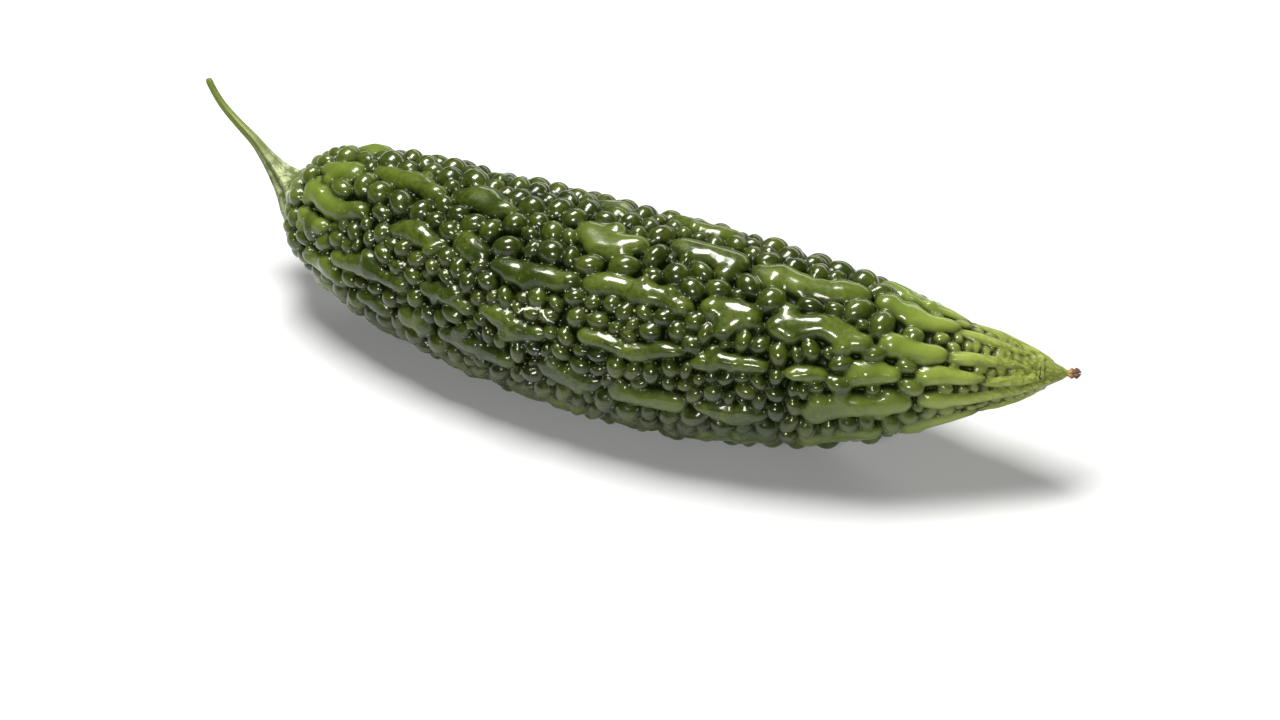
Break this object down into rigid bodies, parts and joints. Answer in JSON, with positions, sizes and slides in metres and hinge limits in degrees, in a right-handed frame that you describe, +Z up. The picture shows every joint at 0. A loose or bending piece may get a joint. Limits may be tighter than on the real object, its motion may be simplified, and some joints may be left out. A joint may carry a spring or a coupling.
{
  "type": "bitter gourd",
  "caption": "Whole dark green bitter gourd lying on its side, with rows of smooth raised bars, small round warts between them, a pointed tip and a curved stem.",
  "frame": {"origin": "on the surface that the gourd lies on, under the middle of the whole gourd with its stem", "axes": "+Z is up; +X runs along the fruit towards its pointed blossom tip; the belly is bowed towards -Y"},
  "size_m": [0.2758, 0.0636, 0.0597],
  "materials": {
    "gourd_skin": "satin",
    "green_stem": "satin",
    "dried_petals": "matte"
  },
  "bodies": {
    "root": {"fruit": "gourd_skin", "stem": "green_stem", "dried_flower": "dried_petals"}
  },
  "joints": []
}
